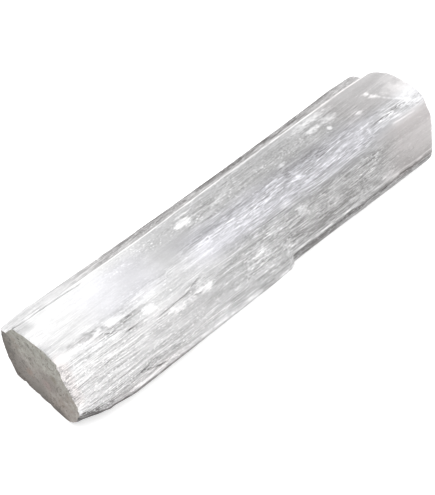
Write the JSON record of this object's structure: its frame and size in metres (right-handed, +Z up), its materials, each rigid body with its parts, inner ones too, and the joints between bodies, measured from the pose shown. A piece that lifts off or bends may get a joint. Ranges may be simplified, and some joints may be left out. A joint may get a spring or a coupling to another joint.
{
  "type": "selenite stick",
  "caption": "Natural satin-spar selenite stick: a pale fibrous crystal bundle with a sawn end, long split faces and a broken side splinter, lying on a flat underside.",
  "frame": {"origin": "under the middle of the stick, on the surface it lies on", "axes": "+X along the fibres from the sawn end to the far end, +Y towards the rear side with the ledge, +Z up"},
  "size_m": [0.1022, 0.0269, 0.0169],
  "materials": {
    "selenite": "translucent white fibrous satin spar: silky gloss along the fibres, matte sawn ends"
  },
  "bodies": {
    "root": {"selenite_stick": "selenite"}
  },
  "joints": []
}
